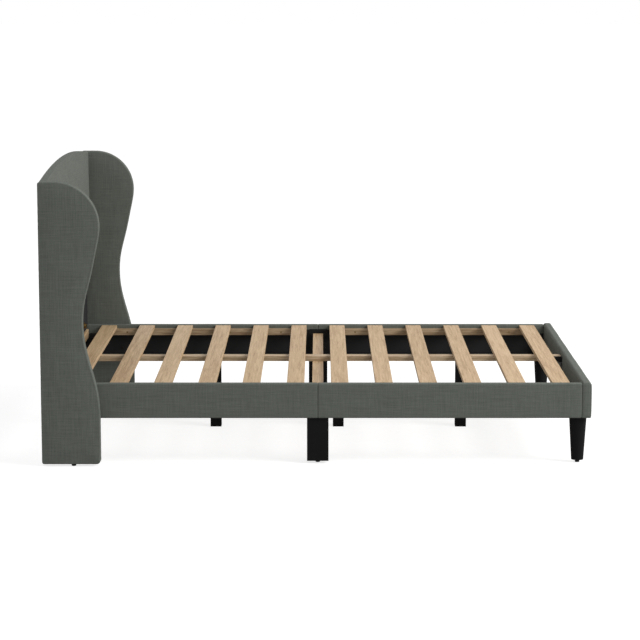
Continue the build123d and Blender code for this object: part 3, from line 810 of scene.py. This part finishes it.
wing = {
    "edgeShares": [(0.943, 0.765), (0.839, 0.664), (0.726, 0.564), (0.704, 0.505),
                   (0.726, 0.437), (0.839, 0.337), (0.943, 0.246)],
    "baseShare": 0.156,  # height of the straight foot of the front edge
    "baseDepth": 223.5 * mm,
    "shoulder": 170 * mm,
    "shoulderSplit": 62,  # degrees up the shoulder, where the rings' side becomes their end
    "lowCorner": 12 * mm,
    "backCorner": 7 * mm,
    "spineFoot": (85 * mm, 100 * mm),  # in from the back and up from the bottom
    "spineHead": (105 * mm, 130 * mm),  # in from the back and down from the top
    "edgeRound": 3.5 * mm,
    "sink": 1.6 * mm,  # how far the faces fall towards their seams
    "seamDepth": 0.9 * mm,
    "seamWidth": 1.1 * mm,
    "pucker": 0.28 * mm,
    "puckerWave": 31 * mm,
    "puckerSwing": 0.4,  # share of the puckers that comes and goes
    "swingWaves": 6.3,  # waves to one swing
    "puckerReach": 8 * mm,
    "puckerGap": 2 * mm,  # flat beside the seam
    "softness": 0.35 * mm,
    "softWave": 170 * mm,
    "softRise": 4,  # how fast the softness sets in from the edge to the spine
    "proud": 1.5 * mm,  # the padding under the cloth of the edge band
    "seed": 11,
    "grid": ((224, 44), (34, 10, 18)),  # along the side and the end; face, edge and band
    "roughGrid": ((80, 16), (10, 3, 4)),
    "runSeed": 15,
    "runWave": 120 * mm,
    "runSoftness": 0.35 * mm,
    "heldTurn": 0.6,  # rows that turn further from the face than this are held
    "pressure": 0.12,
    "cap": 2 * mm,
}


def wingOutline(low, high):
    # Front edge from the foot up over the shoulder, the top, the back and the bottom
    depth, height = high[0] - low[0], high[2] - low[2]
    back, top, bottom = low[0], high[2], low[2]
    corner, backCorner = wing["lowCorner"], wing["backCorner"]
    base = (back + wing["baseDepth"], bottom + wing["baseShare"] * height)
    shoulder = (back + depth, top - wing["shoulder"])
    points = [(back + depth * across, bottom + height * up) for across, up in wing["edgeShares"]]
    front = smoothCurve([base, *points[::-1], shoulder], (0, 1), (0, 1))
    crest, split = (shoulder[0] - wing["shoulder"], shoulder[1]), wing["shoulderSplit"]
    lowFront = (base[0] - corner, bottom + corner)
    highBack, lowBack = ((back + backCorner, z) for z in (top - backCorner, bottom + backCorner))
    return [
        np.vstack([arc(lowFront, corner, -45, 0), line((base[0], lowFront[1]), base), front,
                   arc(crest, wing["shoulder"], 0, split, 60)]),
        np.vstack([arc(crest, wing["shoulder"], split, 90, 30),
                   line((crest[0], top), (highBack[0], top)), arc(highBack, backCorner, 90, 135)]),
        np.vstack([arc(highBack, backCorner, 135, 180),
                   line((back, highBack[1]), (back, lowBack[1])),
                   arc(lowBack, backCorner, 180, 225)]),
        np.vstack([arc(lowBack, backCorner, 225, 270),
                   line((lowBack[0], bottom), (lowFront[0], bottom)),
                   arc(lowFront, corner, -90, -45)])]


def wingForm(low, high, grid):
    # The wing's outline wrapped round a spine that runs up inside it
    counts, steps = grid
    foot, head = wing["spineFoot"], wing["spineHead"]
    return wrapForm(
        wingOutline(low, high), counts,
        ((low[0] + foot[0], low[2] + foot[1]), (low[0] + head[0], high[2] - head[1])),
        acrossRows(sorted((abs(low[1]), abs(high[1]))), [wing["edgeRound"]] * 2,
                   [wing["sink"]] * 2, steps), "xzy")


def seamRelief(form):
    # A groove along both edges where the band is sewn to the faces, with the cloth gathered in
    # small waves that fade away from it, along the band and in over the face
    across, turn = form["acrossLength"], form["across"]["turn"]
    half = np.argmax(form["across"]["place"] > 2)  # the rows before the band
    inOverFace = form["across"]["share"][:, None] * faceWidth(form)[None]
    phase = form["along"][:-1] * 2 * np.pi / wing["puckerWave"]
    swing = 1 - wing["puckerSwing"] + wing["puckerSwing"] * np.sin(phase / wing["swingWaves"] + 1)
    relief = np.zeros(form["depth"].shape)
    for way in (1, -1):
        seam = np.interp(np.pi / 4, turn[::way][:half], across[::way][:half])
        away = np.abs(across - seam)[:, None] + inOverFace
        relief -= wing["seamDepth"] * np.exp(-(away / wing["seamWidth"]) ** 2)
        fade = (np.exp(-away / wing["puckerReach"])
                * (1 - np.exp(-(away / wing["puckerGap"]) ** 2)))
        relief += wing["pucker"] * (np.sin(phase) * swing)[None] * fade
    return relief


def makeWing(name, side):
    low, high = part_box(f"{name}_wing_cover")
    form, rough = (wingForm(low, high, wing[grid]) for grid in ("grid", "roughGrid"))
    heldRows = rough["across"]["turn"] > wing["heldTurn"]
    form = swell(f"{name} wing", form, rough, heldRows, wing, side)
    form = pushed(form, seamRelief(form))
    onFace = np.clip(form["across"]["share"][:, None] * wing["softRise"], 0, 1)
    noise = softNoise(placed(form), wing["softWave"], wing["seed"] + side)
    form = pushed(form, (noise * onFace - 1) * wing["softness"]
                  + wing["proud"] * np.sin(form["across"]["turn"])[:, None])
    makePad(f"{name}_wing_upholstery", form, 0.9, f"{name}_wing_cover", mirrored=side < 0)


for name, side in sides.items():
    makeWing(name, side)
print("wings made")

# Headboard pad

headboard = {
    "frontRound": 3.8 * mm,
    "backRound": 3 * mm,
    "archSag": 37.5 * mm,  # from the board's crown down to the ends of the arch
    "corner": 4.5 * mm,
    "spineEnds": 270 * mm,  # in from the sides
    "spineRise": 10 * mm,
    "crown": 7 * mm,
    "faceRoom": 2.2,  # how late the face falls towards its edge
    "lowTuck": 30 * mm,  # the back goes in to the board over this height
    "tuckIn": 6 * mm,
    "backIn": 2.6 * mm,  # the cloth at the back goes in to the board
    "backInShares": (0.04, 0.05),  # between these shares of the way to the spine
    "softness": 0.8 * mm,
    "softWave": 260 * mm,
    "softRise": 6,
    "seed": 21,
    "grid": ((300, 96), (44, 14, 8)),
    "roughGrid": ((124, 40), (22, 5, 3)),
    "runSeed": 25,
    "runWave": 90 * mm,
    "runSoftness": 0.4 * mm,
    "heldTurn": 1.2,
    "pressure": 0.30,
    "cap": 9 * mm,
}


def headboardOutline(low, high, sideTop):
    # Bottom edge, one side, the arch and the other side
    half, bottom, crown = high[1], low[2], high[2]
    corner = headboard["corner"]
    radius = archRadius(half, crown - sideTop)
    spread = math.degrees(math.asin((half - corner) / radius))
    arch = arc((0, crown - radius), radius, 90 - spread, 90 + spread, 240)
    shoulder = arch[0][1]
    right = np.vstack([
        arc((half - corner, bottom + corner), corner, -90, 0),
        line((half, bottom + corner), (half, shoulder - corner)),
        arc((half - corner, shoulder - corner), corner, 0, 90 - spread)])
    base = line((-half + corner, bottom), (half - corner, bottom))
    return [base, right, arch, right[::-1] * (-1, 1)]


def headboardForm(low, high, grid):
    # The pad's outline wrapped round a level spine, with its front face bulging to the crown
    counts, steps = grid
    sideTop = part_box("headboard_backboard")[1][2] - headboard["archSag"]
    middle = (low[2] + sideTop) / 2
    reach = high[1] - headboard["spineEnds"]
    return wrapForm(
        headboardOutline(low, high, sideTop), counts,
        ((-reach, middle), (reach, middle + headboard["spineRise"])),
        acrossRows((low[0], high[0]), (headboard["backRound"], headboard["frontRound"]),
                   (0, headboard["crown"]), steps, headboard["faceRoom"]), "yzx")


def makeHeadboard():
    low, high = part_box("headboard_cover")
    form, rough = (headboardForm(low, high, headboard[grid]) for grid in ("grid", "roughGrid"))
    heldRows = (rough["across"]["sign"] < 0) | (rough["across"]["turn"] > headboard["heldTurn"])
    form = swell("headboard", form, rough, heldRows, headboard)
    share, sign = form["across"]["share"], form["across"]["sign"]
    drawnIn = np.interp(share, headboard["backInShares"], (0, 1)) * (sign < 0)
    form["depth"] = form["depth"] + drawnIn[:, None] * headboard["backIn"]
    lowEdge = np.clip(1 - (form["flat"][..., 1] - low[2]) / headboard["lowTuck"], 0, 1)
    fromFront = np.clip((high[0] - form["depth"]) / (high[0] - low[0]), 0, 1)
    form["depth"] = form["depth"] + lowEdge * fromFront * headboard["tuckIn"]
    onFace = np.clip(share * headboard["softRise"], 0, 1) * (sign > 0)
    noise = softNoise(placed(form), headboard["softWave"], headboard["seed"])
    form = pushed(form, (noise - 1) * headboard["softness"] * onFace[:, None])
    makePad("headboard_upholstery", form, 0.85, "headboard_cover", "headboard_foam")


makeHeadboard()
print("headboard made")

# Side rails and foot rail

rail = {
    "round": 4.6 * mm,
    "sink": 0.9 * mm,
    "endRounds": {"head": (2.6 * mm, 4.4 * mm), "foot": (4.4 * mm, 4.4 * mm)},
    "endSink": 0.9 * mm,  # how far the cloth is pulled in at the foot rail
    "endReach": 24 * mm,
    "recess": 2 * mm,  # the inner face steps back under the lining
    "recessEdge": 1 * mm,
    "innerFrom": 0.9,  # where the outline faces inwards by at least this share
    "spineInset": 20 * mm,
    "softness": 0.25 * mm,
    "innerSoftness": 0.15,  # share of it on the sides that don't show
    "softWave": 210 * mm,
    "seed": 31,
    "grid": ((44, 22), (6, 8, 230)),
}
footRail = {
    "rounds": (5 * mm, 12 * mm),  # of the bottom and the top
    "sink": 1.5 * mm,
    "endRound": 4.6 * mm,
    "endSink": 1.2 * mm,
    "endRoom": 3,
    "spineInset": 20 * mm,
    "softness": 0.35 * mm,
    "innerSoftness": 0.2,
    "softWave": 230 * mm,
    "seed": 41,
    "proud": 2 * mm,  # padding on the outer side
    "grid": ((44, 30), (10, 10, 300)),
}


def boxOutline(low, high, rounds, sink):
    # Outer side, top, inner side and bottom of a box whose outer side falls in towards its
    # corners; rounds are the radii of the bottom and of the top corners
    (x0, z0), (x1, z1) = low, high
    below, above = rounds
    middle, tall = (z0 + z1) / 2, (z1 - z0) / 2

    def bowed(points):
        share = np.abs((points[:, 1] - middle) / tall)
        return points - np.stack([sink * share ** 4, share * 0], 1)

    return [
        bowed(line((x1, z0 + below), (x1, z1 - above), 60)),
        np.vstack([bowed(arc((x1 - above, z1 - above), above, 0, 90)),
                   arc((x0 + above, z1 - above), above, 90, 180)]),
        line((x0, z1 - above), (x0, z0 + below), 60),
        np.vstack([arc((x0 + below, z0 + below), below, 180, 270),
                   bowed(arc((x1 - below, z0 + below), below, 270, 360))]),
    ]


def railForm(inner, outer, rounds, across, order, settings):
    # A bar between two corners of its section, each given as its side and its height
    middle, inset = (inner[0] + outer[0]) / 2, settings["spineInset"]
    return wrapForm(boxOutline(inner, outer, rounds, settings["sink"]), settings["grid"][0],
                    ((middle, inner[1] + inset), (middle, outer[1] - inset)), across, order)


def outerShare(form):
    # How far each point of the outline faces out from the bed
    return np.clip(form["normal"][:, 0], 0, 1)[None]


def softRail(form, relief, settings, side=0):
    # Adds soft unevenness to the relief, most on the outer side. Both fade out over the ends
    facing = settings["innerSoftness"] + (1 - settings["innerSoftness"]) * outerShare(form)
    noise = softNoise(placed(form), settings["softWave"], settings["seed"] + side) - 1
    relief = relief + facing * settings["softness"] * noise
    return pushed(form, relief * np.sin(form["across"]["turn"])[:, None])


def makeRail(name, side, end):
    node = f"{name}_rail_cover_{end}"
    low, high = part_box(node)
    lowLining, highLining = (corner[2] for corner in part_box("rail_linings"))
    inner, outer = sorted((abs(low[1]), abs(high[1])))
    form = railForm((inner, low[2]), (outer, high[2]), (rail["round"],) * 2,
                    acrossRows((low[0], high[0]), rail["endRounds"][end], (0, 0), rail["grid"][1]),
                    "yzx", rail)
    pull = np.clip(1 - (high[0] - form["depth"]) / rail["endReach"], 0, 1) * (end == "foot")
    heights = form["flat"][..., 1]
    within = (np.clip((heights - lowLining) / rail["recessEdge"], 0, 1)
              * np.clip((highLining - heights) / rail["recessEdge"], 0, 1))
    innerSide = form["normal"][None, :, 0] < -rail["innerFrom"]
    relief = -rail["endSink"] * pull ** 2 * outerShare(form) - rail["recess"] * within * innerSide
    form = softRail(form, relief, rail, side)
    makePad(f"{name}_rail_upholstery_{end}", form, 0.95, node, mirrored=side < 0)


def makeFootRail():
    low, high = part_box("foot_rail_cover")
    form = railForm((low[0], low[2]), (high[0], high[2]), footRail["rounds"],
                    acrossRows((low[1], high[1]), [footRail["endRound"]] * 2,
                               [footRail["endSink"]] * 2, footRail["grid"][1],
                               footRail["endRoom"]),
                    "xzy", footRail)
    form = softRail(form, footRail["proud"] * outerShare(form), footRail)
    makePad("foot_rail_upholstery", form, 0.95, "foot_rail_cover")


for name, side, end in railHalves:
    makeRail(name, side, end)
makeFootRail()
print("rails made")

# Linings and their staples

lining = {
    "hem": 14 * mm,
    "hemRise": 0.5 * mm,
    "hemEdge": 2 * mm,
    "sag": 0.5 * mm,
    "sagWave": 130 * mm,
    "seed": 51,
    "thickness": 0.5 * mm,
}
backLining = {
    "archSag": 37 * mm,
    "inset": 0.6 * mm,  # from the solid's outer face
    "counts": (170, 104),
    "staplePitch": 62 * mm,
    "stapleInset": 6 * mm,
    "stapleRise": 0.3 * mm,
    "cornerGap": 40 * mm,
    "archGap": 60 * mm,
    "uprightShare": 0.96,  # of the height, up to which the sides are upright
}
backBorder = {
    "inset": 0.5 * mm,
    "liftShare": 0.5,
    "overlap": 0.5 * mm,  # under the lining
    "rise": 34 * mm,  # up under the pad's edge
    "turn": 9 * mm,  # on round the board's side
    "turnShares": (0.15, 0.5, 1),
    "hem": 3 * mm,
    "counts": (8, 60),
}
frontLining = {"inset": 0.9 * mm, "counts": (170, 46)}
railLining = {"inset": 1.2 * mm, "endGap": 0.5 * mm, "hem": 9 * mm, "counts": (118, 13)}
staple = {
    "crown": 10 * mm,
    "leg": 1.6 * mm,
    "wire": 0.45 * mm,
    "bend": (0.21 * mm, 0.28 * mm),  # along the crown and down the leg
}


def onPlane(axis, depth, way):
    # Puts a sheet on a plane across X, axis 0, or Y, axis 1, and lifts it off by its way
    def place(first, second, lift):
        spots = [first, second]
        spots.insert(axis, depth + way * lift)
        return np.stack(spots, -1)
    return place


def hangSheet(name, u, v, place, hem, finish, board, *replacedNodes, topOf=None):
    # A stapled sheet, as large as the face that it covers: its hem stands a little proud, and
    # between the hems it sags in soft waves
    first, second = np.meshgrid(u, v, indexing="ij")
    if topOf:
        second = v[0] + (second - v[0]) / (v[-1] - v[0]) * (topOf(first) - v[0])
    edge = np.minimum(np.minimum(first - u[0], u[-1] - first),
                      np.minimum(second - second[:, :1], second[:, -1:] - second))
    onHem = np.clip((hem - edge) / lining["hemEdge"], 0, 1)
    waves = softNoise(np.stack([first, second, first * 0], -1), lining["sagWave"], lining["seed"])
    lift = (lining["hemRise"] * onHem
            + lining["sag"] * (1 - onHem) * (0.5 + 0.5 * waves))
    index = np.arange(first.size).reshape(first.shape)
    piece = pieceFrom(name, place(first, second, lift).reshape(-1, 3),
                      cornersOf(index).reshape(-1, 4),
                      cornersOf(np.stack([first, second], -1)).reshape(-1, 4, 2), finish)
    wall = piece.modifiers.new("wall", "SOLIDIFY")
    wall.thickness, wall.offset = lining["thickness"], 0
    settle(piece, "upholstery" if finish is cloth else "lining", *replacedNodes)


def stapleRow(name, spots, along):
    # Wire staples at the back: a six-sided wire bent down at both ends of its crown. Each ring is
    # the normal times the cosine and the sideways way times the sine of a full turn
    crown, leg, (over, down) = staple["crown"] / 2, staple["leg"], staple["bend"]
    path = np.array([(-crown, -leg), (-crown, -down), (-crown + over, 0)])
    path = np.vstack([path, path[::-1] * (-1, 1)])
    turn = np.arange(6) * np.pi / 3
    along, out = np.array(along, float), np.array((-1, 0, 0), float)
    way = np.gradient(path, axis=0)
    way /= np.linalg.norm(way, axis=1)[:, None]
    normal = np.stack([-way[:, 1], way[:, 0]], 1)
    ring = path[:, None] + normal[:, None] * (np.cos(turn) * staple["wire"])[None, :, None]
    shape = (ring[..., 0, None] * along + ring[..., 1, None] * out
             + (np.sin(turn) * staple["wire"])[None, :, None] * np.cross(along, out))
    points = (np.array(spots)[:, None, None] + shape).reshape(-1, 3)
    index = np.arange(36).reshape(6, 6)
    ends = [index[end, corners] for end, corners in ((0, [3, 2, 1, 0]), (0, [5, 4, 3, 0]),
                                                     (-1, [0, 1, 2, 3]), (-1, [0, 3, 4, 5]))]
    one = np.vstack([cornersOf(closedRound(index)).reshape(-1, 4), *ends])
    quads = (one + index.size * np.arange(len(spots))[:, None, None]).reshape(-1, 4)
    if not outward(points - spots[0], quads):
        quads = quads[:, ::-1]
    settle(pieceFrom(name, points, quads, np.zeros((len(quads), 4, 2)), zinc), "bolt_steel")


def spaced(low, high):
    # Even places from low to high, about one pitch apart
    pitch = backLining["staplePitch"]
    return np.linspace(low, high, max(2, round((high - low) / pitch) + 1))


def makeBackLining():
    low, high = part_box("headboard_back_lining")
    half, tall = high[1], high[2] - low[2]
    radius = archRadius(half, backLining["archSag"])

    def archTop(across):
        # The circle's centre plus the root of its radius squared less the distance across squared
        return high[2] - radius + np.sqrt(radius ** 2 - across ** 2)

    columns, rows = backLining["counts"]
    hangSheet("headboard_back_cloth", np.linspace(-half, half, columns),
              np.linspace(low[2], high[2], rows), onPlane(0, low[0] + backLining["inset"], -1),
              lining["hem"], blackLining, "headboard_backboard", "headboard_back_lining",
              topOf=archTop)
    gap, inset = backLining["cornerGap"], backLining["stapleInset"]
    out = low[0] - backLining["stapleRise"]
    ys = spaced(-half + gap, half - gap)
    zs = spaced(low[2] + gap, low[2] + tall * backLining["uprightShare"] - backLining["archGap"])
    stapleRow("back_cloth_staples_level",
              [(out, y, z) for y in ys for z in (low[2] + inset, archTop(y) - inset)], (0, 1, 0))
    stapleRow("back_cloth_staples_upright",
              [(out, way * (half - inset), z) for z in zs for way in (-1, 1)], (0, 0, 1))


def makeBackBorder(name, side):
    # A strip from the lining's edge to the board's edge and on round its side
    low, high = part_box("headboard_back_lining")
    padLow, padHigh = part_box("headboard_cover")
    boardEdge = padHigh[1]

    def roundBoard(a, b, lift):
        beyond = np.maximum(np.abs(a) - boardEdge, 0)
        return np.stack([low[0] + backBorder["inset"] - lift * backBorder["liftShare"] + beyond,
                         side * np.minimum(np.abs(a), boardEdge), b], -1)

    columns, rows = backBorder["counts"]
    across = np.append(np.linspace(high[1] - backBorder["overlap"], boardEdge, columns),
                       boardEdge + np.array(backBorder["turnShares"]) * backBorder["turn"])
    hangSheet(f"{name}_back_border", np.sort(side * across),
              np.linspace(low[2], padLow[2] + backBorder["rise"], rows), roundBoard,
              backBorder["hem"], cloth, "headboard_backboard")


def makeFrontLining():
    low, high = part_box("headboard_front_lining")
    columns, rows = frontLining["counts"]
    hangSheet("headboard_front_cloth", np.linspace(low[1], high[1], columns),
              np.linspace(low[2], high[2], rows), onPlane(0, high[0] - frontLining["inset"], 1),
              lining["hem"], blackLining, "headboard_backboard", "headboard_front_lining")


def makeRailLining(name, side, end):
    low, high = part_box("rail_linings")
    coverLow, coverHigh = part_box(f"{name}_rail_cover_{end}")
    (columns, rows), gap = railLining["counts"], railLining["endGap"]
    hangSheet(f"{name}_rail_lining_{end}",
              np.linspace(coverLow[0] + gap, coverHigh[0] - gap, columns),
              np.linspace(low[2], high[2], rows),
              onPlane(1, side * (high[1] - railLining["inset"]), -side), railLining["hem"],
              blackLining, f"{name}_rail_board_{end}", "rail_linings")


makeBackLining()
for name, side in sides.items():
    makeBackBorder(name, side)
makeFrontLining()
for name, side, end in railHalves:
    makeRailLining(name, side, end)
print("linings made")
